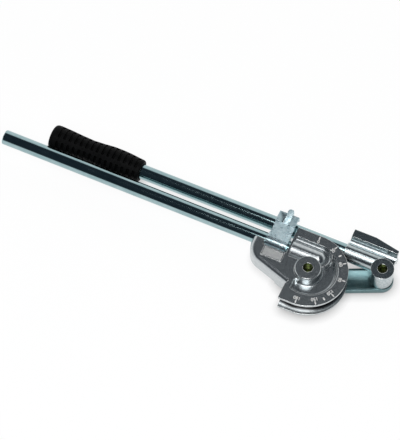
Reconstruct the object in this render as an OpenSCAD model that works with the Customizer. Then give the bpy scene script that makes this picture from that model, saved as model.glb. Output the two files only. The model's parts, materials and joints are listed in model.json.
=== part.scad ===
// Hand pipe bender: a grooved die on a fixed handle, a follower shoe on a folding lever
// and a latch that holds the lever folded. Millimetres, +Z up, X along the handles.
// The origin is on the die pivot, at the underside of the link.

/* [Tube] */
// Outside diameter of the tube that is bent, and of both handles
tube_d = 16; // [14:0.5:18]
// Wall of the two handle tubes
tube_wall = 2; // [1.2:0.1:3]
// Clearance of the bending grooves round the tube
groove_clear = 0.3; // [0.25:0.05:0.5]

/* [Bending die] */
// Radius from the die pivot to the axis of the bent tube
bend_r = 41.5; // [40:0.5:46]
// How far the die flanges reach past the tube axis
flange_reach = 0.5; // [0.1:0.1:1.2]
// Thickness of each flange beside the groove
flange_t = 2.7; // [2:0.1:5]
// Straight length of the groove before the bend
entry_len = 28.2; // [24:0.1:36]
// Straight length of the groove after the bend
exit_len = 15.5; // [12:0.5:20]
// Height of the pivot hub above the die face
hub_rise = 5; // [1:0.5:8]
// Radius of the pivot hub at its top
hub_r = 13.8; // [11:0.2:15]
// How much wider the hub is at its foot
hub_draft = 1.2; // [0.4:0.1:1.6]
// Outer radius of the round recess beside the hub
dish_r = 29.6; // [26:0.2:30]
// Depth of the round recess
dish_depth = 7; // [4:0.5:9]
// Depth of the recess round the handle socket
pocket_depth = 5; // [3:0.5:6]
// Radius of the rounded edge along the arm
arm_round = 5; // [2:0.5:6]

/* [Handles] */
// Distance between the two handle axes, seen from above
handle_gap = 22.5; // [22:0.1:26]
// Depth of the fixed handle below the die face
handle_cover = 1; // [0.5:0.1:2]
// Free end of the fixed handle, measured from the die pivot
handle_end = 359; // [250:1:450]
// How far the fixed handle reaches past the lever grip
handle_past = 46; // [0:1:80]
// Length of the rubber grip
grip_len = 105; // [90:1:130]
// Number of gaps between the ribs of the grip
grip_ribs = 15; // [5:1:15]
// Depth of the gaps between the ribs
rib_depth = 0.9; // [0.4:0.1:1.5]

/* [Link and lever head] */
// Thickness of the link
link_t = 6.5; // [5:0.5:10]
// Half the width of the link
link_half = 13; // [10:0.1:15]
// Distance of the lever pivot from the die pivot, along the handles
pivot_x = 69.8; // [68:0.1:74]
// Distance of the lever pivot from the lever axis
pivot_offset = 8.6; // [7:0.1:10]
// Radius of the lever boss
boss_r = 12.1; // [10:0.1:14]
// Wall of the socket that holds the lever tube
socket_wall = 1.75; // [1:0.05:3]
// Distance of the shoe groove axis from the lever axis
shoe_shift = 23.7; // [22:0.1:24.5]
// How far the shoe flanges stay short of the groove axis
shoe_short = 1; // [0.8:0.1:3]
// Thickness of the web between shoe and socket
web_t = 8; // [5:0.5:10]

/* [Latch] */
// Width of the latch along the handle
latch_w = 23.2; // [16:0.1:30]
// Thickness of the latch plate
latch_t = 2.6; // [2:0.1:3.5]
// Angle at which the latch stands above level
latch_raise = 10; // [9:0.5:60]
// Length of the thumb tab past the latch lip
tab_reach = 4.3; // [2:0.1:8]

/* [Hidden] */

$fn = 96;
far = 60;

cast_color = [0.8, 0.81, 0.82];
zinc_color = [0.66, 0.7, 0.7];
brass_color = [0.66, 0.6, 0.36];
rubber_color = [0.09, 0.09, 0.1];

tube_r = tube_d / 2;
tube_bore = tube_r - tube_wall;
groove_r = tube_r + groove_clear;
seat_clear = 0.05;
seat_r = tube_r + seat_clear;

washer_t = 0.9;
washer_r = 9;
washer_gap = 1;
die_z0 = link_t + washer_gap;
die_t = 2 * (groove_r + flange_t);
die_z1 = die_z0 + die_t;
mid_z = die_z0 + die_t / 2;
hub_z = die_z1 + hub_rise;
die_r = bend_r + flange_reach;

handle_y = bend_r - handle_gap;
handle_z = die_z1 - handle_cover - tube_r;
handle_in = 6;
lever_y = bend_r;

shoulder_r = 4;
shoulder_bore = shoulder_r + seat_clear;
head_r = 5;
head_h = 4.9;
head_bore = 5.35;
head_deep = 7.5;
head_seat = die_z1 - head_deep;
seat_gap = 0.1;
hex_r = 3.1;
thread_r = 2.98;
thread_bore = 3.02;
thread_z = 2;
hub_chamfer = 0.8;

pivot_y = lever_y - pivot_offset;
link_len = norm([pivot_x, pivot_y]);
link_ang = atan2(pivot_y, pivot_x);

notch_x1 = -entry_len;
notch_back = 9.9;
notch_y = handle_y - notch_back;
hook_gap = 0.8;
hook_gap_head = 2.2;
hook_x0 = notch_x1 - hook_gap_head - latch_w;
ear_x1 = hook_x0 - hook_gap;
ear_w = 12.6;
ear_back = 4;
ear_y = handle_y - ear_back;
ear_round = 2.5;
cradle_out = 3;
cradle_y = handle_y + cradle_out;

arm_floor = 2;
arm_z0 = handle_z - seat_r - arm_floor;
arm_slope = 18;
arm_corner_r = 20;
arm_end = ear_x1 - ear_w;
arm_cx = arm_end + arm_corner_r;
arm_back = 9.7;
arm_cy = handle_y - arm_back;
arm_tx = arm_cx + arm_corner_r * cos(270 - arm_slope);
arm_ty = arm_cy + arm_corner_r * sin(270 - arm_slope);
function arm_edge(x) = arm_ty - tan(arm_slope) * (x - arm_tx);
arm_edge_len = (-exit_len - arm_tx) / cos(arm_slope) + 1;
// The straight edge stands this much proud of the rounded corner, so that the two cuts cross cleanly
edge_step = 0.02;

rib_w = 3.4;
pocket_half = 12.5;
pocket_shift = 0.5;
pocket_y = handle_y + pocket_shift;
pocket_x0 = rib_w - entry_len;
pocket_x1 = 4.5;
pocket_wall = 1.5;
pocket_cove = 2.4;
ridge_wall = 2.5;
ridge_r = tube_r + ridge_wall;
ridge_x1 = 3.5;
dish_x = 2;
dish_y = 1;
dish_left = -9;
dish_step = 2.2;
dish_step_depth = 2;
dish_cove = 3;
dish_z = die_z1 - dish_depth;
hub_cove = 1.5;
hub_foot_r = hub_r + hub_draft;
corner_r = 3;
corner_x = dish_left + corner_r;
corner_y = -sqrt(pow(hub_foot_r + corner_r, 2) - corner_x * corner_x);

plate_len = 23;
plate_h = 10.8;
plate_gap = 1.5;
plate_x1 = notch_x1 - plate_gap / 2;
plate_x0 = plate_x1 - plate_len;
plate_y1 = notch_y - plate_gap;
plate_y0 = plate_y1 - plate_h;
plate_rim = 1.2;
plate_rise = 0.7;

pin_r = 2;
pin_clear = 0.02;
pin_bore = pin_r + pin_clear;
pin_x = -10;
lever_pin_x = 45;

socket_r = seat_r + socket_wall;
socket_x0 = 25.5;
socket_x1 = 66;
lever_in = 58;
shoe_axis = lever_y + shoe_shift;
shoe_face = shoe_axis - shoe_short;
shoe_back = 1.6;
shoe_wall = shoe_axis - groove_r - shoe_back;
shoe_x0 = 26.3;
shoe_x1 = 50.5;
shoe_x2 = 78;
shoe_drop = 5.3;
shoe_cove = 6;
web_z0 = mid_z - web_t / 2;
web_z1 = mid_z + web_t / 2;

link_dish = 3;
link_dish_half = 10.5;
link_dish_r = (link_dish_half * link_dish_half + link_dish * link_dish) / (2 * link_dish);
pad_o = 16;
pad_p = 18.5;
pad_slope = 1.6;

swing_clear = 0.4;
hook_bore = tube_r + 0.08;
hook_b0 = tube_r + swing_clear;
hook_b1 = hook_b0 + latch_t;
knuckle_r = hook_b1;
notch_r = knuckle_r + swing_clear;
hook_span = norm([lever_y - handle_y, mid_z - handle_z]);
strap_in = 1.2;
strap_w = latch_w - strap_in;
lip_a0 = hook_span + tube_r + swing_clear;
lip_t = 2;
lip_a1 = lip_a0 + lip_t;
lip_b0 = 0.9;
block_len = 13;
crease_a = lip_a1 - block_len;
block_rise = 2.4;
block_fall = 18;
block_w = 7.4;
block_end_b = hook_b1 + block_rise - block_len * tan(block_fall);
level_a = crease_a + block_rise / tan(block_fall);
tab_w = 6.6;
tab_t = 2.8;
tab_rise = 2.6;
tab_run = 5.5;
tab_side = 1;
tab_end = lip_a1 + tab_reach;
tab_x = strap_in + strap_w / 2 + tab_side;

grip_x0 = handle_past - handle_end;
grip_wall = 5;
lever_end = grip_x0 + grip_wall;
grip_max = hook_span - tube_r - swing_clear;
grip_waist = 1.9;
grip_thin = grip_max - grip_waist;
grip_skin = 2;
grip_tip = tube_r + grip_skin;
grip_round = 5;
rib_gap = 2;
rib_start = 9;
rib_last = 12;
rib_pitch = (grip_len - rib_start - rib_last) / (grip_ribs - 1);
rib_lean = 0.3;
function grip_r(s) = lookup(s, [
  [0, grip_max - 0.44 * grip_round],
  [0.2 * grip_round, grip_max - 0.2 * grip_round],
  [0.5 * grip_round, grip_max - 0.06 * grip_round],
  [grip_round, grip_max],
  [1.6 * grip_round, grip_max - 0.05 * grip_waist],
  [0.43 * grip_len, grip_thin],
  [0.66 * grip_len, grip_max],
  [0.83 * grip_len, grip_max - 0.1 * grip_waist],
  [0.945 * grip_len, grip_thin],
  [grip_len, grip_tip]]);

// Die: closed outline of the grooved segment
module die_outline() {
  intersection() {
    circle(r = die_r, $fn = 180);
    translate([-1, -die_r])
      square([die_r + 1, 2 * die_r]);
  }
  polygon([
    [0, die_r],
    [-entry_len - 1, die_r],
    [-entry_len - 1, arm_edge(-entry_len - 1)],
    [-exit_len, arm_edge(-exit_len)],
    [-exit_len, -die_r],
    [0, -die_r]]);
}

// Die: plan of the arm that carries the fixed handle
module arm_outline() {
  polygon([
    [arm_end + ear_round, ear_y],
    [arm_end, ear_y - ear_round],
    [arm_end, arm_cy],
    [arm_tx, arm_ty],
    [-exit_len, arm_edge(-exit_len)],
    [-exit_len, ear_y]]);
  translate([arm_end + ear_round, ear_y - ear_round])
    circle(r = ear_round, $fn = 48);
  intersection() {
    translate([arm_cx, arm_cy])
      circle(r = arm_corner_r);
    translate([arm_end, -far])
      square([arm_corner_r * 2, far + ear_y - ear_round]);
  }
}

// Die: section of the waste outside the rounded arm edge
module round_section() {
  difference() {
    square([arm_round + 1, arm_round + 1]);
    circle(r = arm_round);
  }
}

// Die: waste along the straight sides and the corner of the arm
module arm_rounding() {
  translate([arm_cx, arm_cy, die_z1 - arm_round]) {
    rotate([0, 0, 180])
      rotate_extrude(angle = 90 - arm_slope)
        translate([arm_corner_r - arm_round, 0])
          round_section();
    rotate([0, 0, 270 - arm_slope])
      rotate([90, 0, 0])
        translate([arm_corner_r - arm_round + edge_step, 0, -arm_edge_len])
          linear_extrude(height = arm_edge_len + 2)
            round_section();
    rotate([0, 0, 180])
      rotate([90, 0, 0])
        translate([arm_corner_r - arm_round, 0, 0])
          linear_extrude(height = ear_y - arm_cy + 1)
            round_section();
  }
}

// Section of a recess with a coved foot, measured from its middle
module cove_section(half, depth, cove) {
  translate([0, cove - depth])
    square([half, depth - cove + hub_rise + 5]);
  translate([0, -depth])
    square([half - cove, depth]);
  translate([half - cove, cove - depth])
    circle(r = cove, $fn = 48);
}

// Die: recess round the handle socket
module ridge_pocket() {
  translate([pocket_x0, pocket_y, die_z1])
    rotate([90, 0, 90])
      linear_extrude(height = pocket_x1 - pocket_x0) {
        cove_section(pocket_half, pocket_depth, pocket_cove);
        mirror([1, 0])
          cove_section(pocket_half, pocket_depth, pocket_cove);
      }
  translate([pocket_x1, pocket_y, die_z1])
    rotate([0, 0, -90])
      rotate_extrude(angle = 180)
        cove_section(pocket_half, pocket_depth, pocket_cove);
}

// Die: the round recess, left standing beside the handle socket
module round_dish() {
  difference() {
    intersection() {
      translate([dish_x, dish_y, die_z1]) {
        rotate_extrude()
          cove_section(dish_r - dish_step, dish_depth, dish_cove);
        rotate_extrude()
          cove_section(dish_r, dish_step_depth, dish_step_depth / 2);
      }
      linear_extrude(height = hub_z + far)
        polygon([[0, far], [far, far], [far, -far], [dish_left, -far], [dish_left, 0], [0, 0]]);
    }
    translate([0, 0, die_z0])
      linear_extrude(height = far) {
        translate([pocket_x0, pocket_y - pocket_half - pocket_wall])
          square([pocket_x1 - pocket_x0, 2 * (pocket_half + pocket_wall)]);
        translate([pocket_x1, pocket_y])
          circle(r = pocket_half + pocket_wall);
      }
  }
}

// Die: raised socket over the end of the fixed handle
module handle_ridge() {
  translate([pocket_x0 - 1, handle_y, handle_z])
    rotate([0, 90, 0])
      cylinder(r = ridge_r, h = ridge_x1 - pocket_x0 + 1);
  translate([ridge_x1, handle_y, handle_z])
    sphere(r = ridge_r);
}

// Die: pivot hub with draft, a broken top edge and a coved foot in the round recess
module pivot_hub() {
  translate([0, 0, die_z0])
    cylinder(r = hub_foot_r, h = dish_z - die_z0);
  translate([0, 0, dish_z])
    cylinder(r1 = hub_foot_r, r2 = hub_r, h = hub_z - hub_chamfer - dish_z);
  translate([0, 0, hub_z - hub_chamfer])
    cylinder(r1 = hub_r, r2 = hub_r - hub_chamfer, h = hub_chamfer);
  translate([0, 0, dish_z])
    rotate_extrude()
      difference() {
        translate([0, -hub_cove])
          square([hub_foot_r + hub_cove, 2 * hub_cove]);
        translate([hub_foot_r + hub_cove, hub_cove])
          circle(r = hub_cove, $fn = 48);
      }
}

// Die: rounded inner corner between the hub and the straight end of the round recess
module dish_corner() {
  translate([0, 0, die_z0])
    linear_extrude(height = die_t)
      difference() {
        polygon([[dish_left - 1, 0], [dish_left - 1, corner_y], [corner_x, corner_y], [0, 0]]);
        translate([corner_x, corner_y])
          circle(r = corner_r, $fn = 48);
      }
}

// Die: bare raised border on the arm
module plate_border() {
  translate([plate_x0, plate_y0, die_z1 - 1])
    difference() {
      cube([plate_x1 - plate_x0, plate_y1 - plate_y0, plate_rise + 1]);
      translate([plate_rim, plate_rim, 1])
        cube([plate_x1 - plate_x0 - 2 * plate_rim, plate_y1 - plate_y0 - 2 * plate_rim, 2]);
    }
}

// Section of the tube groove, open away from the pivot
module groove_section() {
  circle(r = groove_r);
  translate([0, -groove_r])
    square([flange_reach + groove_r, 2 * groove_r]);
}

// Die: groove round the half circle and along both straight ends
module tube_groove() {
  translate([0, 0, mid_z]) {
    rotate([0, 0, -90])
      rotate_extrude(angle = 180, $fn = 180)
        translate([bend_r, 0])
          groove_section();
    translate([-entry_len - 2, bend_r, 0])
      rotate([90, 0, 90])
        linear_extrude(height = entry_len + 2)
          groove_section();
    translate([-exit_len - 2, -bend_r, 0])
      rotate([90, 0, 90])
        linear_extrude(height = exit_len + 2)
          mirror([1, 0])
            groove_section();
  }
}

// Die: space in which the latch turns
module latch_notch() {
  translate([ear_x1, notch_y, die_z0 - 1])
    cube([notch_x1 - ear_x1, far, die_t + 2]);
  translate([ear_x1, handle_y, handle_z])
    rotate([0, 90, 0])
      cylinder(r = notch_r, h = notch_x1 - ear_x1);
}

// Counterbored hole for a pivot screw
module pivot_bore(top) {
  translate([0, 0, die_z0 - 1])
    cylinder(r = shoulder_bore, h = die_t);
  translate([0, 0, head_seat])
    cylinder(r = head_bore, h = top - head_seat + 1);
}

module bend_die() {
  color(cast_color)
    difference() {
      union() {
        difference() {
          union() {
            translate([0, 0, die_z0])
              linear_extrude(height = die_t)
                die_outline();
            translate([0, 0, arm_z0])
              linear_extrude(height = die_z1 - arm_z0)
                arm_outline();
          }
          arm_rounding();
          ridge_pocket();
          round_dish();
        }
        translate([arm_end, ear_y - 2, arm_z0])
          cube([ear_x1 - arm_end, cradle_y - ear_y + 2, handle_z - arm_z0]);
        handle_ridge();
        pivot_hub();
        dish_corner();
        plate_border();
      }
      tube_groove();
      latch_notch();
      translate([arm_end - 1, handle_y, handle_z])
        rotate([0, 90, 0])
          cylinder(r = seat_r, h = handle_in + 0.1 - arm_end + 1);
      pivot_bore(hub_z);
      translate([pin_x, handle_y, die_z0 - 1])
        cylinder(r = pin_bore, h = handle_z - die_z0);
    }
}

module fixed_handle() {
  color(zinc_color)
    difference() {
      translate([-handle_end, handle_y, handle_z])
        rotate([90, 0, 90])
          rotate_extrude()
            polygon([
              [tube_bore, 0],
              [tube_r - 0.7, 0],
              [tube_r, 0.7],
              [tube_r, handle_end + handle_in],
              [tube_bore, handle_end + handle_in]]);
      translate([pin_x, handle_y, handle_z - tube_d])
        cylinder(r = pin_bore, h = tube_d);
    }
}

module handle_pin() {
  pin_z0 = die_z0 + 0.6;
  color(zinc_color)
    translate([pin_x, handle_y, pin_z0])
      difference() {
        cylinder(r = pin_r, h = handle_z - 1 - pin_z0);
        translate([0, 0, -1])
          cylinder(r = pin_r / 2, h = handle_z);
      }
}

module link_bar() {
  color(zinc_color)
    rotate([0, 0, link_ang])
      difference() {
        linear_extrude(height = link_t) {
          circle(r = link_half);
          translate([link_len, 0])
            circle(r = link_half);
          translate([0, -link_half])
            square([link_len, 2 * link_half]);
        }
        difference() {
          translate([0, 0, link_t - link_dish + link_dish_r])
            rotate([0, 90, 0])
              cylinder(r = link_dish_r, h = link_len);
          cylinder(r = pad_o, h = far);
          translate([link_len, 0, 0])
            cylinder(r1 = pad_p, r2 = pad_p - pad_slope * link_t, h = link_t);
        }
        translate([0, 0, thread_z])
          cylinder(r = thread_bore, h = link_t);
        translate([link_len, 0, thread_z])
          cylinder(r = thread_bore, h = link_t);
      }
}

// Shoulder screw with a socket head, standing on the link
module pivot_screw() {
  head_z = head_seat + seat_gap;
  color(brass_color)
    difference() {
      union() {
        translate([0, 0, thread_z + 0.3])
          cylinder(r = thread_r, h = link_t);
        translate([0, 0, link_t])
          cylinder(r = shoulder_r, h = head_z - link_t + 1);
        translate([0, 0, head_z])
          cylinder(r = head_r, h = head_h);
      }
      translate([0, 0, head_z + head_h - 2.8])
        cylinder(r = hex_r, h = 4, $fn = 6);
    }
}

module die_pivot_screw() {
  pivot_screw();
}

module lever_pivot_screw() {
  translate([pivot_x, pivot_y, 0])
    pivot_screw();
}

// Flat washer on the link, under a pivot
module pivot_washer() {
  color(brass_color)
    translate([0, 0, link_t])
      difference() {
        cylinder(r = washer_r, h = washer_t);
        translate([0, 0, -1])
          cylinder(r = shoulder_r + 0.1, h = washer_t + 2);
      }
}

module die_washer() {
  pivot_washer();
}

module lever_washer() {
  translate([pivot_x, pivot_y, 0])
    pivot_washer();
}

// Lever head: open space above or below the web, seen along the lever
module web_waste() {
  translate([lever_y - 1, 0])
    square([shoe_wall - shoe_cove - lever_y + 1, die_t]);
  translate([lever_y - 1, shoe_cove])
    square([shoe_wall - lever_y + 1, die_t]);
  translate([shoe_wall - shoe_cove, shoe_cove])
    circle(r = shoe_cove, $fn = 64);
}

// Lever head: shoe and web, seen along the lever
module shoe_section() {
  difference() {
    translate([lever_y, die_z0])
      square([shoe_face - lever_y, die_t]);
    translate([0, web_z1])
      web_waste();
    translate([0, web_z0])
      mirror([0, 1])
        web_waste();
  }
}

// Lever head: plan of the shoe
module shoe_plan() {
  polygon([
    [shoe_x0, lever_y - 1],
    [shoe_x0, shoe_face + 1],
    [shoe_x1, shoe_face + 1],
    [shoe_x1, shoe_face],
    [shoe_x2, shoe_face - shoe_drop],
    [shoe_x2, lever_y - 1]]);
}

module lever_head() {
  color(zinc_color)
    difference() {
      union() {
        translate([pivot_x, pivot_y, die_z0])
          cylinder(r = boss_r, h = die_t);
        translate([socket_x0, lever_y, mid_z])
          rotate([0, 90, 0])
            cylinder(r = socket_r, h = socket_x1 - socket_x0);
        intersection() {
          linear_extrude(height = far)
            shoe_plan();
          rotate([90, 0, 90])
            linear_extrude(height = 2 * far)
              shoe_section();
        }
      }
      translate([0, shoe_axis, mid_z])
        rotate([90, 0, 90])
          linear_extrude(height = 2 * far)
            union() {
              circle(r = groove_r);
              translate([0, -groove_r])
                square([2 * groove_r, 2 * groove_r]);
            }
      translate([socket_x0 - 1, lever_y, mid_z])
        rotate([0, 90, 0])
          cylinder(r = seat_r, h = lever_in + 0.1 - socket_x0 + 1);
      translate([pivot_x, pivot_y, 0])
        pivot_bore(die_z1);
      translate([lever_pin_x, lever_y, 0])
        cylinder(r = pin_bore, h = mid_z);
    }
}

module lever_tube() {
  color(zinc_color)
    difference() {
      translate([lever_end, lever_y, mid_z])
        rotate([90, 0, 90])
          rotate_extrude()
            polygon([
              [tube_bore, 0],
              [tube_r, 0],
              [tube_r, lever_in - lever_end],
              [tube_bore, lever_in - lever_end]]);
      translate([lever_pin_x, lever_y, mid_z - tube_d])
        cylinder(r = pin_bore, h = tube_d);
    }
}

module lever_pin() {
  pin_z0 = mid_z - socket_r + 0.6;
  color(zinc_color)
    translate([lever_pin_x, lever_y, pin_z0])
      difference() {
        cylinder(r = pin_r, h = mid_z - 1 - pin_z0);
        translate([0, 0, -1])
          cylinder(r = pin_r / 2, h = mid_z);
      }
}

// Grip: outer edge of one gap between two ribs
function rib_points(s) = [
  [grip_r(s), s],
  [grip_r(s + rib_lean) - rib_depth, s + rib_lean],
  [grip_r(s + rib_gap - rib_lean) - rib_depth, s + rib_gap - rib_lean],
  [grip_r(s + rib_gap), s + rib_gap]];

module lever_grip() {
  end_points = [for (s = [0, 1, 2.5, 5]) [grip_r(s), s]];
  ribs = [for (i = [0 : grip_ribs - 1]) each rib_points(rib_start + i * rib_pitch)];
  tip_points = [[grip_tip, grip_len], [seat_r, grip_len], [seat_r, grip_wall], [0, grip_wall]];
  color(rubber_color)
    translate([grip_x0, lever_y, mid_z])
      rotate([90, 0, 90])
        rotate_extrude()
          polygon(concat([[0, 0]], end_points, ribs, tip_points));
}

// Latch: the knuckle seen along the handle, with the handle axis at the origin
module knuckle_section() {
  difference() {
    circle(r = knuckle_r);
    circle(r = hook_bore);
  }
}

// Latch: the plate and its lip seen along the handle, level
module strap_section() {
  polygon([
    [0, hook_b0],
    [0, hook_b1],
    [level_a, hook_b1],
    [lip_a1, block_end_b],
    [lip_a1, lip_b0],
    [lip_a0, lip_b0],
    [lip_a0, hook_b0]]);
}

// Latch: raised block that falls away to the lip
module latch_block() {
  polygon([
    [crease_a, hook_b0],
    [crease_a, hook_b1 + block_rise],
    [lip_a1, block_end_b],
    [lip_a1, hook_b0]]);
}

// Latch: thumb tab seen along the handle
module tab_section() {
  polygon([
    [crease_a - tab_run / 4, hook_b1 - tab_t / 4],
    [crease_a + tab_run, hook_b1 + tab_rise],
    [tab_end - tab_t / 2, hook_b1 + tab_rise],
    [tab_end - tab_t / 2, hook_b1 + tab_rise - tab_t],
    [lip_a1 - lip_t / 2, hook_b0 + latch_t / 5]]);
  translate([tab_end - tab_t / 2, hook_b1 + tab_rise - tab_t / 2])
    circle(r = tab_t / 2, $fn = 48);
}

module latch_hook() {
  color(zinc_color)
    translate([hook_x0, handle_y, handle_z])
      rotate([latch_raise, 0, 0]) {
        rotate([90, 0, 90]) {
          linear_extrude(height = latch_w)
            knuckle_section();
          translate([0, 0, strap_in])
            linear_extrude(height = strap_w)
              strap_section();
          translate([0, 0, strap_in])
            linear_extrude(height = block_w)
              latch_block();
          translate([0, 0, latch_w - block_w])
            linear_extrude(height = block_w)
              latch_block();
        }
        intersection() {
          translate([tab_x - tab_w / 2, 0, 0])
            rotate([90, 0, 90])
              linear_extrude(height = tab_w)
                tab_section();
          translate([tab_x, 0, 0])
            linear_extrude(height = far) {
              translate([-tab_w, 0])
                square([2 * tab_w, tab_end - tab_w / 2]);
              translate([0, tab_end - tab_w / 2])
                circle(r = tab_w / 2);
            }
        }
      }
}

bend_die();
fixed_handle();
handle_pin();
link_bar();
die_pivot_screw();
die_washer();
lever_pivot_screw();
lever_washer();
lever_head();
lever_tube();
lever_pin();
lever_grip();
latch_hook();
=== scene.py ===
import json
import math

import bmesh
import bpy
from mathutils import Matrix, Vector


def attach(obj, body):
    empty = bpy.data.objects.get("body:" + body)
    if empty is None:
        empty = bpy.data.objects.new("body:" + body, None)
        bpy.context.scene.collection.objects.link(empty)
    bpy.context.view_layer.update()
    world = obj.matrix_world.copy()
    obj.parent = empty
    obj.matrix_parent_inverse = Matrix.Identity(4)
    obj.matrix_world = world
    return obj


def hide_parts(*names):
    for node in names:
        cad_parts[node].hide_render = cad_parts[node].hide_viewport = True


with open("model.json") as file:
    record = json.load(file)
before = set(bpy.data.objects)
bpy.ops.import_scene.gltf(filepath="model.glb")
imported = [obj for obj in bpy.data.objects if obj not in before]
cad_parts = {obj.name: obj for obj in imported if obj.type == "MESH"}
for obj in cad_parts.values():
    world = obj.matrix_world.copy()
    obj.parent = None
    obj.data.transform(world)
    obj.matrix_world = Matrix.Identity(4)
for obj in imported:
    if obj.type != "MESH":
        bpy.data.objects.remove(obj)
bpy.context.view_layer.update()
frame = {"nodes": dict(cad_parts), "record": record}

# The frame is in metres, and the sizes of the pieces are named in millimetres
MM = 0.001

# Sizes that follow the part's source, in millimetres

# Height of the die face that carries the degree marks
DIE_FACE_Z = 29.5
# The die's groove: radius of its bottom, its upper lip, the end of its segment, and its exit
GROOVE_FLOOR_R = 33.3
GROOVE_TOP_Z = 26.7
SEGMENT_END_X = -9.0
GROOVE_EXIT_Y = -26.0
# Field of the bare label plate on the die's arm: two corners
PLATE_FIELD = ((-50.75, -2.0), (-30.15, 6.4))
# Axis of the fixed handle, across and up, and the knuckle of the latch round it
HANDLE_AXIS = (19.0, 20.5)
KNUCKLE_R = 11.0
# Axis of the lever tube, across and up, and the closed end of its grip
GRIP_AXIS = (41.5, 18.5)
GRIP_END_X = -313.0

# Rubber grip, in millimetres and degrees

# Its outline without the gaps, and its bore: distance from the closed end, radius
GRIP_OUTLINE = [
    (0.0, 11.6), (0.5, 12.6), (1.3, 13.3), (2.6, 13.8), (5.0, 14.05), (8.0, 14.0), (18.0, 13.6),
    (32.0, 12.7), (45.0, 12.2), (57.0, 13.0), (69.0, 14.05), (80.0, 14.0), (88.0, 13.6),
    (96.0, 12.8), (101.0, 12.4), (103.2, 12.2), (104.3, 11.7), (104.9, 11.0), (105.0, 10.2),
]
GRIP_BORE = [(104.6, 9.0), (103.6, 8.1), (5.0, 8.1), (5.0, 0.0)]
GRIP_STEPS = 72
GRIP_WELD = 0.005
# The sides of a gap lean in by this share of its width
GAP_LEAN = 0.18
# The strips along it: both ends, how far they reach below the gaps, and their breadth
STRIP_START = 5.0
STRIP_END = 101.0
STRIP_SINK = 0.6
STRIP_DEGREES = 18
STRIP_STEPS = 4
# Edges that look sharp from this turn on, and moulded edges that are rounded
GRIP_SHARP_DEGREES = 28
MOULDED_DEGREES = 40
MOULDED_EDGE = 0.25

# Broken edges of the plain solids, in millimetres and degrees

# The solid is welded, slivers and flat edges go, and edges from this turn on are broken
WELD = 0.04
SLIVER = 0.01
FLAT_DEGREES = 0.4
BROKEN_DEGREES = 32

# Marks on the die face, in millimetres and degrees

# Angle of the zero mark round the pivot, from the X axis. The others follow clockwise
MARK_START = 94.5
FIGURES = (0, 30, 60, 90, 120, 150, 180)
FIGURE_R = 34.6
FIGURE_HEIGHT = 5.0
FIGURE_RISE = 0.30
FIGURE_ROUND = 0.10
# Pointers at the figures, ovals halfway between two of them: radii of foot and tip, half width
POINTER = (36.6, 41.3, 0.85)
OVALS = (45, 135)
OVAL = (35.4, 39.4, 1.1)
# A pointer starts below the face, and its top is narrower than its foot
POINTER_SEGMENTS = 20
POINTER_SINK = 0.2
POINTER_RISE = 0.6
POINTER_TOP = (0.72, 0.86, 1.0)
# Thickness of the label plate's field, half of it above the face
PLATE_FIELD_THICK = 0.5

# Looks

# Painted shade deep in the die's groove, where its concave wall lies in shade: radii where it
# starts and is full, in millimetres, share, colour
GROOVE_SHADE_START_R = 40.0
GROOVE_SHADE_FULL_R = 37.0
GROOVE_SHADE_SHARE = 0.92
GROOVE_SHADE_COLOR = (0.035, 0.036, 0.038)
# What a mask by distance leaves for the facets of a mesh, in millimetres
FACET_ROOM = 0.2
KNUCKLE_ROUGH = 0.17
# Colour of the painted shade in a piece's own recesses
RECESS_SHADE_COLOR = (0.05, 0.052, 0.055)
# Spans of the metals' noise that count as dark to light, and as a pale spot
CLOUD_SPAN = (0.35, 0.65)
PALE_SPAN = (0.52, 0.72)
# Spans of the rubber's noise that count as dark to light, and as smooth to rough
RUBBER_CLOUD_SPAN = (0.35, 0.75)
RUBBER_SKIN_SPAN = (0.3, 0.7)
# How fast the edges' wear and painted highlight set in round an edge, and how noise breaks them
# up
WEAR_AND_SHEEN_GAIN = 9.0
BREAK_GAIN = 1.2
BREAK_BASE = 0.2

# Studio and camera, in metres and degrees, with the lens and its sensor in millimetres

CAMERA_AZIMUTH = 24.3
CAMERA_ELEVATION = 61.0
CAMERA_DISTANCE = 2.5
CAMERA_LENS = 195.5
CAMERA_SENSOR = 36.0
CAMERA_CLIP = 0.05
CAMERA_TARGET = Vector((-0.1270, 0.0115, 0.022))
# The dark canopy: the elevation of its middle, on the camera's side, and its colours from the
# bright surround inwards, by the cosine of the angle to its middle
CANOPY_ELEVATION = 65.0
CANOPY_STOPS = (
    (0.20, (0.95, 0.95, 0.95)),
    (0.34, (0.6768, 0.72, 0.7416)),
    (0.44, (0.1128, 0.12, 0.1236)),
    (0.56, (0.022, 0.030, 0.040)),
)
FLASH = dict(azimuth=20.0, elevation=63.0, distance=2.2, width=0.95, height=1.8, power=25.0)
LATCH_LIGHT = dict(azimuth=165.0, elevation=83.0, distance=2.2, width=0.4, height=0.4, power=2.0)
FLOOR_HALF = 4.0
FLOOR_DROP = 0.0004
FLOOR_COLOR = (0.9, 0.9, 0.9)
FLOOR_ROUGH = 0.9
FLOOR_GLOW = 1.04
FLOOR_GLOW_SHARE = 0.9
# Reach of the painted contact shadow in the floor's glow
FLOOR_SHADOW_REACH = 0.012

BODY_OF = {
    node: body
    for body, nodes in frame["record"]["behaviour"]["bodies"].items()
    for node in nodes
}
SLOT_OF = {part["node"]: part["material_slot"] for part in frame["record"]["subparts"]}


# Shader nodes

def feed(tree, value, socket):
    """A socket takes a link from another socket, or a plain value."""
    if isinstance(value, bpy.types.NodeSocket):
        tree.links.new(value, socket)
    else:
        socket.default_value = value


def math_node(tree, operation, *values, clamp=False):
    """A Math node whose inputs are sockets or plain numbers."""
    node = tree.nodes.new("ShaderNodeMath")
    node.operation = operation
    node.use_clamp = clamp
    for socket, value in zip(node.inputs, values):
        feed(tree, value, socket)
    return node.outputs[0]


def dot_node(tree, first, second):
    """The dot product of two vectors, each a socket or plain."""
    node = tree.nodes.new("ShaderNodeVectorMath")
    node.operation = "DOT_PRODUCT"
    feed(tree, first, node.inputs[0])
    feed(tree, second, node.inputs[1])
    return node.outputs["Value"]


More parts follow.
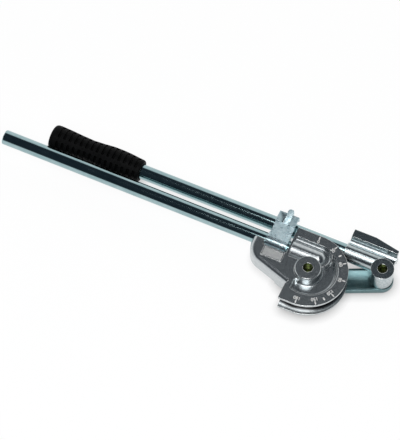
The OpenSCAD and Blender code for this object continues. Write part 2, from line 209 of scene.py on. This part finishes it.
def length_node(tree, first, second):
    """The length of the hypotenuse over two sockets."""
    squares = [math_node(tree, "MULTIPLY", side, side) for side in (first, second)]
    return math_node(tree, "SQRT", math_node(tree, "ADD", *squares))


def spread(tree, value, span, target):
    """A Map Range node from one span to another, with sockets or plain numbers as their ends."""
    node = tree.nodes.new("ShaderNodeMapRange")
    tree.links.new(value, node.inputs["Value"])
    for name, end in zip(("From Min", "From Max", "To Min", "To Max"), (*span, *target)):
        feed(tree, end, node.inputs[name])
    return node.outputs["Result"]


def noise_node(tree, coordinates, scale, detail, rough):
    """A Noise Texture's factor, with a linked scale."""
    node = tree.nodes.new("ShaderNodeTexNoise")
    node.inputs["Detail"].default_value = detail
    node.inputs["Roughness"].default_value = rough
    tree.links.new(coordinates, node.inputs["Vector"])
    tree.links.new(scale, node.inputs["Scale"])
    return node.outputs["Fac"]


def mix_colors(tree, factor, first, second):
    """A colour Mix node between two plain colours or sockets."""
    node = tree.nodes.new("ShaderNodeMix")
    node.data_type = "RGBA"
    tree.links.new(factor, node.inputs["Factor"])
    ends = [socket for socket in node.inputs if socket.type == "RGBA"]
    for socket, value in zip(ends, (first, second)):
        linked = isinstance(value, bpy.types.NodeSocket)
        feed(tree, value if linked else (*value, 1.0), socket)
    return next(socket for socket in node.outputs if socket.type == "RGBA")


def object_place(tree):
    """Coordinates on the piece itself, so that what goes by them moves with it."""
    return tree.nodes.new("ShaderNodeTexCoord").outputs["Object"]


def split_place(tree):
    """The three coordinates on the piece, each a socket."""
    split = tree.nodes.new("ShaderNodeSeparateXYZ")
    tree.links.new(object_place(tree), split.inputs["Vector"])
    return [split.outputs[name] for name in "XYZ"]


# Effects shared by the finishes

def new_group(name, inputs, outputs):
    """An empty shader node group with number inputs, and its two end nodes."""
    group = bpy.data.node_groups.new(name, "ShaderNodeTree")
    for socket, value in inputs.items():
        made = group.interface.new_socket(socket, in_out="INPUT", socket_type="NodeSocketFloat")
        made.default_value = value
    for socket, kind in outputs.items():
        group.interface.new_socket(socket, in_out="OUTPUT", socket_type=kind)
    return group, group.nodes.new("NodeGroupInput"), group.nodes.new("NodeGroupOutput")


def make_edge_wear_group():
    """Rounded normal along a piece's edges, and a mask of their wear and painted highlight,
    broken up by noise.
    """
    group, start, end = new_group(
        "edge_wear_and_sheen",
        {"Radius": 0.0006, "Breakup": 900.0},
        {"Mask": "NodeSocketFloat", "Normal": "NodeSocketVector"},
    )
    bevel = group.nodes.new("ShaderNodeBevel")
    bevel.samples = 16
    group.links.new(start.outputs["Radius"], bevel.inputs["Radius"])
    geometry = group.nodes.new("ShaderNodeNewGeometry")
    turned = dot_node(group, bevel.outputs["Normal"], geometry.outputs["Normal"])
    bend = math_node(group, "SUBTRACT", 1.0, turned)
    bend = math_node(group, "MULTIPLY", bend, WEAR_AND_SHEEN_GAIN, clamp=True)
    place = object_place(group)
    broken = noise_node(group, place, start.outputs["Breakup"], detail=3.0, rough=0.5)
    broken = math_node(group, "MULTIPLY_ADD", broken, BREAK_GAIN, BREAK_BASE)
    mask = math_node(group, "MULTIPLY", bend, broken, clamp=True)
    group.links.new(mask, end.inputs["Mask"])
    group.links.new(bevel.outputs["Normal"], end.inputs["Normal"])
    return group


def make_metal_grain_group():
    """Fine speckle, slow clouds and crystal spangle of a skin, drawn out along X by Stretch."""
    group, start, end = new_group(
        "metal_grain",
        {"Speckle Scale": 1500.0, "Cloud Scale": 120.0, "Spangle Scale": 600.0, "Stretch": 1.0},
        {name: "NodeSocketFloat" for name in ("Speckle", "Cloud", "Spangle")},
    )
    join = group.nodes.new("ShaderNodeCombineXYZ")
    for name, value in (("X", start.outputs["Stretch"]), ("Y", 1.0), ("Z", 1.0)):
        feed(group, value, join.inputs[name])
    stretched = group.nodes.new("ShaderNodeVectorMath")
    stretched.operation = "MULTIPLY"
    group.links.new(object_place(group), stretched.inputs[0])
    group.links.new(join.outputs["Vector"], stretched.inputs[1])
    along = stretched.outputs["Vector"]
    speckle = noise_node(group, along, start.outputs["Speckle Scale"], detail=2.0, rough=0.6)
    cloud = noise_node(group, along, start.outputs["Cloud Scale"], detail=4.0, rough=0.6)
    crystals = group.nodes.new("ShaderNodeTexVoronoi")
    group.links.new(along, crystals.inputs["Vector"])
    group.links.new(start.outputs["Spangle Scale"], crystals.inputs["Scale"])
    spangle = group.nodes.new("ShaderNodeSeparateColor")
    group.links.new(crystals.outputs["Color"], spangle.inputs["Color"])
    group.links.new(spangle.outputs["Red"], end.inputs["Spangle"])
    group.links.new(speckle, end.inputs["Speckle"])
    group.links.new(cloud, end.inputs["Cloud"])
    return group


def make_recess_group():
    """Mask of painted shade in a piece's own recesses, by ambient occlusion: 0 at Open, 1 at
    Shut, times Share.
    """
    group, start, end = new_group(
        "recess_painted_shade",
        {"Reach": 0.006, "Share": 0.7, "Open": 0.75, "Shut": 0.25},
        {"Mask": "NodeSocketFloat"},
    )
    hidden = group.nodes.new("ShaderNodeAmbientOcclusion")
    hidden.samples = 8
    hidden.only_local = True
    group.links.new(start.outputs["Reach"], hidden.inputs["Distance"])
    span = (start.outputs["Open"], start.outputs["Shut"])
    depth = spread(group, hidden.outputs["AO"], span, (0.0, 1.0))
    mask = math_node(group, "MULTIPLY", depth, start.outputs["Share"], clamp=True)
    group.links.new(mask, end.inputs["Mask"])
    return group


EDGE_WEAR_AND_SHEEN = make_edge_wear_group()
METAL_GRAIN = make_metal_grain_group()
RECESS_SHADE = make_recess_group()


def place_group(tree, group, **values):
    """A group node in a material, with its own values."""
    node = tree.nodes.new("ShaderNodeGroup")
    node.node_tree = group
    for name, value in values.items():
        node.inputs[name.replace("_", " ")].default_value = value
    return node


# Finishes

def new_material(name):
    """A material with its node tree and its Principled shader."""
    material = bpy.data.materials.new(name)
    material.use_nodes = True
    return material, material.node_tree, material.node_tree.nodes["Principled BSDF"]


def skin_relief(tree, shader, height, strength, distance):
    """A light bump of the skin on the shader."""
    relief = tree.nodes.new("ShaderNodeBump")
    relief.inputs["Strength"].default_value = strength
    relief.inputs["Distance"].default_value = distance
    tree.links.new(height, relief.inputs["Height"])
    tree.links.new(relief.outputs["Normal"], shader.inputs["Normal"])
    return relief


def make_metal(name, dark, light, edge, rough, grain, pale, spangle, bump, wear_and_sheen,
               recess_shade=None, round_edges=False, metal=1.0):
    """A metal that clouds between two tones, with pale spots, spangle, bright edges that are
    worn and carry a painted highlight, and, if asked, painted shade in its recesses.
    """
    material, tree, shader = new_material(name)
    shader.inputs["Metallic"].default_value = metal
    skin = place_group(tree, METAL_GRAIN, **grain)
    worn_and_sheen = place_group(tree, EDGE_WEAR_AND_SHEEN, **wear_and_sheen)
    cloud = spread(tree, skin.outputs["Cloud"], CLOUD_SPAN, (0.0, 1.0 - spangle))
    crystal = spread(tree, skin.outputs["Spangle"], (0.0, 1.0), (0.0, spangle))
    tone = math_node(tree, "ADD", cloud, crystal, clamp=True)
    body_color = mix_colors(tree, tone, dark, light)
    spots = spread(tree, skin.outputs["Speckle"], PALE_SPAN, (0.0, pale))
    spotted = mix_colors(tree, spots, body_color, edge)
    # Bright edges: wear, and a painted highlight along them
    color = mix_colors(tree, worn_and_sheen.outputs["Mask"], spotted, edge)
    # Painted shade in the piece's own recesses, by ambient occlusion
    if recess_shade:
        shaded = place_group(tree, RECESS_SHADE, **recess_shade)
        color = mix_colors(tree, shaded.outputs["Mask"], color, RECESS_SHADE_COLOR)
    tree.links.new(color, shader.inputs["Base Color"])
    tree.links.new(spread(tree, tone, (0.0, 1.0), rough), shader.inputs["Roughness"])
    relief = skin_relief(tree, shader, skin.outputs["Speckle"], **bump)
    if round_edges:
        tree.links.new(worn_and_sheen.outputs["Normal"], relief.inputs["Normal"])
    return material


def mark_groove(material):
    """Painted shade deep in the die's groove, where its concave wall lies in shade, by distance
    from the die pivot.
    """
    tree = material.node_tree
    base = tree.nodes["Principled BSDF"].inputs["Base Color"]
    x, y, z = split_place(tree)
    reach = length_node(tree, x, y)
    span = (GROOVE_SHADE_START_R * MM, GROOVE_SHADE_FULL_R * MM)
    deep = spread(tree, reach, span, (0.0, GROOVE_SHADE_SHARE))
    outside = math_node(tree, "GREATER_THAN", reach, GROOVE_FLOOR_R * MM - FACET_ROOM * MM)
    below = math_node(tree, "LESS_THAN", z, GROOVE_TOP_Z * MM)
    past_arm = math_node(tree, "GREATER_THAN", x, SEGMENT_END_X * MM)
    at_exit = math_node(tree, "LESS_THAN", y, GROOVE_EXIT_Y * MM)
    beyond = math_node(tree, "MAXIMUM", past_arm, at_exit)
    inside = math_node(tree, "MULTIPLY", deep, outside)
    within = math_node(tree, "MULTIPLY", below, beyond)
    mask = math_node(tree, "MULTIPLY", inside, within, clamp=True)
    unshaded = base.links[0].from_socket
    tree.links.new(mix_colors(tree, mask, unshaded, GROOVE_SHADE_COLOR), base)


def polish_knuckle(material):
    """The latch's knuckle is smoother than its strap, by distance from the handle's axis."""
    tree = material.node_tree
    roughness = tree.nodes["Principled BSDF"].inputs["Roughness"]
    _, y, z = split_place(tree)
    across = math_node(tree, "SUBTRACT", y, HANDLE_AXIS[0] * MM)
    above = math_node(tree, "SUBTRACT", z, HANDLE_AXIS[1] * MM)
    reach = length_node(tree, across, above)
    strap = math_node(tree, "GREATER_THAN", reach, (KNUCKLE_R + FACET_ROOM) * MM)
    limit = math_node(tree, "ADD", strap, KNUCKLE_ROUGH)
    skin = roughness.links[0].from_socket
    tree.links.new(math_node(tree, "MINIMUM", skin, limit), roughness)


def make_rubber(name, dark, light, scuff, gap_shade, rough, gloss, grain, bump, wear_and_sheen, recess_shade):
    """A rubber that clouds between two tones, with a moulded skin, pale scuffs and painted shade
    in its gaps.
    """
    material, tree, shader = new_material(name)
    shader.inputs["Specular IOR Level"].default_value = gloss
    skin = place_group(tree, METAL_GRAIN, **grain)
    worn_and_sheen = place_group(tree, EDGE_WEAR_AND_SHEEN, **wear_and_sheen)
    shaded = place_group(tree, RECESS_SHADE, **recess_shade)
    tone = spread(tree, skin.outputs["Cloud"], RUBBER_CLOUD_SPAN, (0.0, 1.0))
    body_color = mix_colors(tree, tone, dark, light)
    rubbed = mix_colors(tree, worn_and_sheen.outputs["Mask"], body_color, scuff)
    # Painted shade in the gaps between the ribs
    color = mix_colors(tree, shaded.outputs["Mask"], rubbed, gap_shade)
    tree.links.new(color, shader.inputs["Base Color"])
    rough_skin = spread(tree, skin.outputs["Speckle"], RUBBER_SKIN_SPAN, rough)
    tree.links.new(rough_skin, shader.inputs["Roughness"])
    skin_relief(tree, shader, skin.outputs["Speckle"], **bump)
    return material


FINISH = {
    "cast_aluminium": make_metal(
        "cast_aluminium",
        dark=(0.46, 0.495, 0.508),
        light=(0.57, 0.605, 0.618),
        edge=(0.97, 0.965, 0.95),
        rough=(0.24, 0.27),
        grain=dict(Speckle_Scale=800.0, Cloud_Scale=500.0, Spangle_Scale=700.0),
        pale=0.25,
        spangle=0.3,
        bump=dict(strength=0.015, distance=0.0001),
        wear_and_sheen=dict(Radius=0.0006, Breakup=900.0),
        recess_shade=dict(Reach=0.003, Share=0.2),
        round_edges=True,
    ),
    "zinc_plate": make_metal(
        "zinc_plate",
        dark=(0.27, 0.40, 0.42),
        light=(0.38, 0.51, 0.53),
        edge=(0.66, 0.78, 0.79),
        rough=(0.08, 0.12),
        grain=dict(Speckle_Scale=900.0, Cloud_Scale=140.0, Spangle_Scale=500.0, Stretch=0.35),
        pale=0.2,
        spangle=0.3,
        bump=dict(strength=0.015, distance=0.0001),
        wear_and_sheen=dict(Radius=0.0005, Breakup=700.0),
    ),
    # The yellow zinc is painted very dark: painted shade for the screws deep in their bores
    "yellow_zinc": make_metal(
        "yellow_zinc",
        dark=(0.022, 0.034, 0.008),
        light=(0.070, 0.090, 0.025),
        edge=(0.30, 0.31, 0.13),
        rough=(0.22, 0.36),
        grain=dict(Speckle_Scale=1400.0, Cloud_Scale=420.0),
        pale=0.3,
        spangle=0.2,
        bump=dict(strength=0.12, distance=0.0002),
        wear_and_sheen=dict(Radius=0.0004, Breakup=900.0),
    ),
    "black_rubber": make_rubber(
        "black_rubber",
        dark=(0.0040, 0.0041, 0.0043),
        light=(0.0070, 0.0072, 0.0075),
        scuff=(0.016, 0.016, 0.017),
        gap_shade=(0.0005, 0.0005, 0.0005),
        rough=(0.42, 0.58),
        gloss=0.05,
        grain=dict(Speckle_Scale=2200.0, Cloud_Scale=160.0),
        bump=dict(strength=0.25, distance=0.0002),
        wear_and_sheen=dict(Radius=0.0008, Breakup=500.0),
        recess_shade=dict(Reach=0.005, Share=1.0, Open=0.96, Shut=0.66),
    ),
}
# Painted shade in the die's groove
mark_groove(FINISH["cast_aluminium"])
# Plated castings are rougher than the tubes, and the latch is plated in cloudy patches
PLATED_CASTING = make_metal(
    "plated_casting",
    dark=(0.40, 0.46, 0.475),
    light=(0.53, 0.59, 0.605),
    edge=(0.96, 0.97, 0.95),
    rough=(0.20, 0.23),
    grain=dict(Speckle_Scale=800.0, Cloud_Scale=400.0, Spangle_Scale=700.0),
    pale=0.2,
    spangle=0.3,
    bump=dict(strength=0.015, distance=0.0001),
    wear_and_sheen=dict(Radius=0.0006, Breakup=800.0),
    recess_shade=dict(Reach=0.003, Share=0.4),
    round_edges=True,
)
PLATED_LATCH = make_metal(
    "plated_latch",
    dark=(0.36, 0.50, 0.55),
    light=(0.64, 0.78, 0.82),
    edge=(0.95, 0.98, 0.98),
    rough=(0.26, 0.32),
    grain=dict(Speckle_Scale=420.0, Cloud_Scale=230.0, Spangle_Scale=500.0),
    pale=0.3,
    spangle=0.15,
    bump=dict(strength=0.02, distance=0.00012),
    wear_and_sheen=dict(Radius=0.0006, Breakup=600.0),
    recess_shade=dict(Reach=0.004, Share=0.7),
)
polish_knuckle(PLATED_LATCH)
# The pressed link is satin, with a stronger blue-green passivation than the tubes
PRESSED_LINK = make_metal(
    "pressed_link",
    dark=(0.14, 0.245, 0.26),
    light=(0.20, 0.31, 0.325),
    edge=(0.70, 0.82, 0.82),
    rough=(0.36, 0.40),
    grain=dict(Speckle_Scale=500.0, Cloud_Scale=120.0, Spangle_Scale=300.0),
    pale=0.1,
    spangle=0.2,
    bump=dict(strength=0.015, distance=0.0001),
    wear_and_sheen=dict(Radius=0.0006, Breakup=700.0),
    recess_shade=dict(Reach=0.006, Share=0.6),
)
# Raised marks are painted pale and matte, a painted highlight for the light that their raised
# edges catch
PALE_MARK_HIGHLIGHT = make_metal(
    "pale_mark_highlight",
    dark=(0.80, 0.79, 0.77),
    light=(0.93, 0.92, 0.90),
    edge=(0.98, 0.98, 0.97),
    rough=(0.45, 0.60),
    grain=dict(Speckle_Scale=900.0, Cloud_Scale=500.0, Spangle_Scale=700.0),
    pale=0.2,
    spangle=0.2,
    bump=dict(strength=0.05, distance=0.0001),
    wear_and_sheen=dict(Radius=0.0003, Breakup=1200.0),
    metal=0.0,
)
# The field of the plate is blasted, between the marks and the bright casting
BLASTED_FIELD = make_metal(
    "blasted_field",
    dark=(0.52, 0.53, 0.53),
    light=(0.68, 0.69, 0.68),
    edge=(0.90, 0.90, 0.88),
    rough=(0.40, 0.50),
    grain=dict(Speckle_Scale=900.0, Cloud_Scale=400.0, Spangle_Scale=700.0),
    pale=0.2,
    spangle=0.2,
    bump=dict(strength=0.05, distance=0.0001),
    wear_and_sheen=dict(Radius=0.0003, Breakup=1200.0),
    metal=0.5,
)


# Pieces

def add_object(name, data):
    """A new object in the scene."""
    holder = bpy.data.objects.new(name, data)
    bpy.context.scene.collection.objects.link(holder)
    return holder


def add_shape(name, shape):
    """A new object from a finished bmesh, which is freed."""
    mesh = bpy.data.meshes.new(name)
    shape.to_mesh(mesh)
    shape.free()
    return add_object(name, mesh)


def dress(piece, node, finish=None):
    """A piece takes its node's body and, unless another is given, the finish of its node's slot.
    """
    piece.data.materials.clear()
    piece.data.materials.append(finish or FINISH[SLOT_OF[node]])
    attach(piece, BODY_OF[node])


def finish_node(node, finish):
    """A CAD node that keeps its shape takes a finish."""
    skin = frame["nodes"][node].data.materials
    skin.clear()
    skin.append(finish)


def edged_copy(node, width, segments, finish=None):
    """The node's solid with its edges broken, in place of the node."""
    shape = bmesh.new()
    shape.from_mesh(frame["nodes"][node].data)
    bmesh.ops.remove_doubles(shape, verts=shape.verts[:], dist=WELD * MM)
    bmesh.ops.dissolve_degenerate(shape, edges=shape.edges[:], dist=SLIVER * MM)
    flat = math.radians(FLAT_DEGREES)
    bmesh.ops.dissolve_limit(
        shape, angle_limit=flat, verts=shape.verts[:], edges=shape.edges[:]
    )
    for face in shape.faces:
        face.smooth = True
    piece = add_shape(node + "_edged", shape)
    bevel = piece.modifiers.new("broken_edges", "BEVEL")
    bevel.limit_method = "ANGLE"
    bevel.angle_limit = math.radians(BROKEN_DEGREES)
    bevel.width = width * MM
    bevel.segments = segments
    bevel.use_clamp_overlap = False
    bevel.loop_slide = False
    bevel.miter_outer = "MITER_ARC"
    bevel.harden_normals = True
    normals = piece.modifiers.new("face_normals", "WEIGHTED_NORMAL")
    normals.keep_sharp = True
    dress(piece, node, finish)
    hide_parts(node)


def grip_radius(along):
    """Radius of the grip's outline at a distance from its closed end, without its gaps."""
    for (low, first), (high, second) in zip(GRIP_OUTLINE, GRIP_OUTLINE[1:]):
        if along <= high:
            share = (along - low) / (high - low)
            return first + (second - first) * share
    return GRIP_OUTLINE[-1][1]


def grip_profile(gaps, first, pitch, width, depth):
    """Section of the ribbed grip: its outline with the gaps cut in, and its bore."""
    lean = GAP_LEAN * width
    starts = [first + number * pitch for number in range(gaps)]
    outer = [
        (along, radius) for along, radius in GRIP_OUTLINE
        if not any(start - lean <= along <= start + width + lean for start in starts)
    ]
    for start in starts:
        end = start + width
        outer += [(start, grip_radius(start)), (start + lean, grip_radius(start) - depth)]
        outer += [(end - lean, grip_radius(end) - depth), (end, grip_radius(end))]
    return [(0.0, 0.0)] + sorted(outer) + GRIP_BORE


def grip_line(shape, points):
    """A chain of edges in a half plane of the grip's axis, from distances and radii."""
    across, up = GRIP_AXIS
    chain = [
        shape.verts.new(((GRIP_END_X + along) * MM, across * MM, (up + radius) * MM))
        for along, radius in points
    ]
    return chain, [shape.edges.new(pair) for pair in zip(chain, chain[1:])]


def add_strip(shape, depth, begin, center):
    """A smooth strip along the grip, which bridges its gaps, from this angle on."""
    upper = [
        (along, radius) for along, radius in GRIP_OUTLINE if STRIP_START <= along <= STRIP_END
    ]
    lower = [(along, radius - depth - STRIP_SINK) for along, radius in reversed(upper)]
    strip = bmesh.new()
    chain, _ = grip_line(strip, upper + lower)
    side = strip.faces.new(chain)
    turn = Matrix.Rotation(begin, 4, "X")
    turn = Matrix.Translation(center) @ turn @ Matrix.Translation(-center)
    bmesh.ops.transform(strip, matrix=turn, verts=strip.verts[:])
    bmesh.ops.spin(
        strip, geom=[side], cent=center, axis=(1, 0, 0),
        angle=math.radians(STRIP_DEGREES), steps=STRIP_STEPS,
    )
    bmesh.ops.recalc_face_normals(strip, faces=strip.faces[:])
    joined = bpy.data.meshes.new("strip")
    strip.to_mesh(joined)
    strip.free()
    shape.from_mesh(joined)
    bpy.data.meshes.remove(joined)


def ribbed_grip(gaps, first, pitch, width, depth, strips, strip_angle):
    """Rubber grip: ribs turned round the axis, tied together by smooth strips along it."""
    shape = bmesh.new()
    center = Vector((0.0, GRIP_AXIS[0] * MM, GRIP_AXIS[1] * MM))
    chain, edges = grip_line(shape, grip_profile(gaps, first, pitch, width, depth))
    bmesh.ops.spin(
        shape, geom=chain + edges, cent=center, axis=(1, 0, 0),
        angle=2 * math.pi, steps=GRIP_STEPS, use_merge=True,
    )
    bmesh.ops.remove_doubles(shape, verts=shape.verts[:], dist=GRIP_WELD * MM)
    bmesh.ops.recalc_face_normals(shape, faces=shape.faces[:])
    for number in range(strips):
        middle = math.radians(strip_angle) + number * 2 * math.pi / strips
        add_strip(shape, depth, middle - math.radians(STRIP_DEGREES / 2), center)
    for face in shape.faces:
        face.smooth = True
    sharp = math.radians(GRIP_SHARP_DEGREES)
    for edge in shape.edges:
        edge.smooth = edge.is_manifold and edge.calc_face_angle() < sharp
    piece = add_shape("ribbed_grip", shape)
    bevel = piece.modifiers.new("moulded_edges", "BEVEL")
    bevel.limit_method = "ANGLE"
    bevel.angle_limit = math.radians(MOULDED_DEGREES)
    bevel.width = MOULDED_EDGE * MM
    bevel.segments = 2
    dress(piece, "lever_grip")
    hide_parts("lever_grip")


def on_die(angle, radius, height):
    """Place on the die at an angle round its pivot, with +Y outwards."""
    turn = math.radians(angle)
    place = Vector((radius * math.cos(turn), radius * math.sin(turn), height))
    return Matrix.Translation(place) @ Matrix.Rotation(turn - math.pi / 2, 4, "Z")


def degree_mark(name, label, angle):
    """Raised degree figures on the die face, read from the hub, with their tops at the rim."""
    words = bpy.data.curves.new(name, "FONT")
    words.body = label
    words.size = FIGURE_HEIGHT * MM
    words.align_x = "CENTER"
    words.align_y = "CENTER"
    words.extrude = FIGURE_RISE * MM
    words.bevel_depth = FIGURE_ROUND * MM
    words.bevel_resolution = 1
    holder = add_object(name + "_words", words)
    bpy.context.view_layer.update()
    graph = bpy.context.evaluated_depsgraph_get()
    mesh = bpy.data.meshes.new_from_object(holder.evaluated_get(graph))
    bpy.data.objects.remove(holder)
    mesh.transform(on_die(angle, FIGURE_R * MM, DIE_FACE_Z * MM))
    dress(add_object(name, mesh), "bend_die", PALE_MARK_HIGHLIGHT)


def pointer_mark(name, angle, foot, tip, half):
    """Raised oval pointer on the die face, narrower at its top than at the face."""
    shape = bmesh.new()
    bmesh.ops.create_circle(shape, cap_ends=True, segments=POINTER_SEGMENTS, radius=half)
    longer = (tip - foot) / (2 * half)
    bmesh.ops.scale(shape, vec=(1.0, longer, 1.0), verts=shape.verts[:])
    risen = bmesh.ops.extrude_face_region(shape, geom=shape.faces[:])
    top = [corner for corner in risen["geom"] if isinstance(corner, bmesh.types.BMVert)]
    bmesh.ops.translate(shape, vec=(0, 0, POINTER_RISE * MM), verts=top)
    bmesh.ops.scale(shape, vec=POINTER_TOP, verts=top)
    bmesh.ops.recalc_face_normals(shape, faces=shape.faces[:])
    place = on_die(angle, (foot + tip) / 2, (DIE_FACE_Z - POINTER_SINK) * MM)
    bmesh.ops.transform(shape, matrix=place, verts=shape.verts[:])
    dress(add_shape(name, shape), "bend_die", PALE_MARK_HIGHLIGHT)


def label_field():
    """Blasted field of the bare label plate, inside its border."""
    low, high = (Vector((x * MM, y * MM, 0.0)) for x, y in PLATE_FIELD)
    middle, size = (low + high) / 2, high - low
    shape = bmesh.new()
    bmesh.ops.create_cube(shape, size=1.0)
    thick = PLATE_FIELD_THICK * MM
    bmesh.ops.scale(shape, vec=(size.x, size.y, thick), verts=shape.verts[:])
    bmesh.ops.translate(shape, vec=(middle.x, middle.y, DIE_FACE_Z * MM), verts=shape.verts[:])
    dress(add_shape("label_field", shape), "bend_die", BLASTED_FIELD)


edged_copy("latch_hook", width=0.35, segments=2, finish=PLATED_LATCH)
edged_copy("link_bar", width=0.70, segments=3, finish=PRESSED_LINK)
ribbed_grip(gaps=15, first=8.6, pitch=6.36, width=2.9, depth=1.3, strips=4, strip_angle=31)
edged_copy("fixed_handle", width=0.60, segments=3)
for plain in ("bend_die", "lever_tube", "handle_pin", "lever_pin",
              "die_pivot_screw", "lever_pivot_screw", "die_washer", "lever_washer"):
    finish_node(plain, FINISH[SLOT_OF[plain]])
finish_node("lever_head", PLATED_CASTING)

for degrees in FIGURES:
    degree_mark(f"figure_{degrees}", str(degrees), MARK_START - degrees)
    pointer_mark(f"pointer_{degrees}", MARK_START - degrees, *(size * MM for size in POINTER))
for degrees in OVALS:
    pointer_mark(f"pointer_{degrees}", MARK_START - degrees, *(size * MM for size in OVAL))
label_field()


# Studio

def view_direction(azimuth, elevation):
    """Unit vector from the object towards a viewer at this angle."""
    turn, rise = math.radians(azimuth), math.radians(elevation)
    level = math.cos(rise)
    return Vector((math.sin(turn) * level, -math.cos(turn) * level, math.sin(rise)))


def aim(holder, azimuth, elevation, distance):
    """A lamp or a camera stands at this angle and distance and looks at the object."""
    direction = view_direction(azimuth, elevation)
    holder.location = CAMERA_TARGET + distance * direction
    holder.rotation_euler = direction.to_track_quat("Z", "Y").to_euler()


def make_floor():
    """A pale floor, white to the camera and in the metal, that keeps the shadow, and whose glow
    carries a painted contact shadow near the object.
    """
    shape = bmesh.new()
    bmesh.ops.create_grid(shape, x_segments=1, y_segments=1, size=FLOOR_HALF)
    bmesh.ops.translate(shape, vec=(0, 0, -FLOOR_DROP), verts=shape.verts[:])
    floor = add_shape("floor", shape)
    material, tree, shader = new_material("pale_floor")
    shader.inputs["Base Color"].default_value = (*FLOOR_COLOR, 1.0)
    shader.inputs["Roughness"].default_value = FLOOR_ROUGH
    glow = tree.nodes.new("ShaderNodeEmission")
    glow.inputs["Strength"].default_value = FLOOR_GLOW
    path = tree.nodes.new("ShaderNodeLightPath")
    rays = (path.outputs["Is Camera Ray"], path.outputs["Is Glossy Ray"])
    share = math_node(tree, "MULTIPLY", math_node(tree, "MAXIMUM", *rays), FLOOR_GLOW_SHARE)
    # Painted contact shadow: the glow darkens by ambient occlusion near the object
    contact_shadow = tree.nodes.new("ShaderNodeAmbientOcclusion")
    contact_shadow.samples = 12
    contact_shadow.inputs["Distance"].default_value = FLOOR_SHADOW_REACH
    tree.links.new(contact_shadow.outputs["Color"], glow.inputs["Color"])
    mix = tree.nodes.new("ShaderNodeMixShader")
    tree.links.new(share, mix.inputs["Fac"])
    tree.links.new(shader.outputs["BSDF"], mix.inputs[1])
    tree.links.new(glow.outputs["Emission"], mix.inputs[2])
    tree.links.new(mix.outputs["Shader"], tree.nodes["Material Output"].inputs["Surface"])
    floor.data.materials.append(material)


def make_studio():
    """A bright surround under a dark canopy that leans to the viewer's side."""
    world = bpy.data.worlds.new("studio")
    bpy.context.scene.world = world
    world.use_nodes = True
    tree = world.node_tree
    place = tree.nodes.new("ShaderNodeTexCoord")
    middle = view_direction(CAMERA_AZIMUTH, CANOPY_ELEVATION)
    toward = dot_node(tree, place.outputs["Generated"], middle)
    ramp = tree.nodes.new("ShaderNodeValToRGB")
    ramp.color_ramp.interpolation = "EASE"
    stops = ramp.color_ramp.elements
    outermost, *between, innermost = CANOPY_STOPS
    for stop, (position, color) in zip(stops, (outermost, innermost)):
        stop.position = position
        stop.color = (*color, 1.0)
    for position, color in between:
        stops.new(position).color = (*color, 1.0)
    tree.links.new(toward, ramp.inputs["Fac"])
    path = tree.nodes.new("ShaderNodeLightPath")
    to_camera = path.outputs["Is Camera Ray"]
    shown = mix_colors(tree, to_camera, ramp.outputs["Color"], (1.0, 1.0, 1.0))
    tree.links.new(shown, tree.nodes["Background"].inputs["Color"])


def make_camera():
    """A long lens at the photograph's angle."""
    lens = bpy.data.cameras.new("camera")
    lens.lens = CAMERA_LENS
    lens.sensor_width = CAMERA_SENSOR
    lens.clip_start = CAMERA_CLIP
    holder = add_object("camera", lens)
    aim(holder, CAMERA_AZIMUTH, CAMERA_ELEVATION, CAMERA_DISTANCE)
    bpy.context.scene.camera = holder


def soft_box(name, azimuth, elevation, distance, width, height, power):
    """An oblong area lamp aimed at the object, its height along the meridian."""
    lamp = bpy.data.lights.new(name, "AREA")
    lamp.shape = "RECTANGLE"
    lamp.size = width
    lamp.size_y = height
    lamp.energy = power
    aim(add_object(name, lamp), azimuth, elevation, distance)


bpy.context.scene.view_settings.view_transform = "Standard"
make_floor()
make_studio()
make_camera()
soft_box("flash", **FLASH)
soft_box("latch_light", **LATCH_LIGHT)
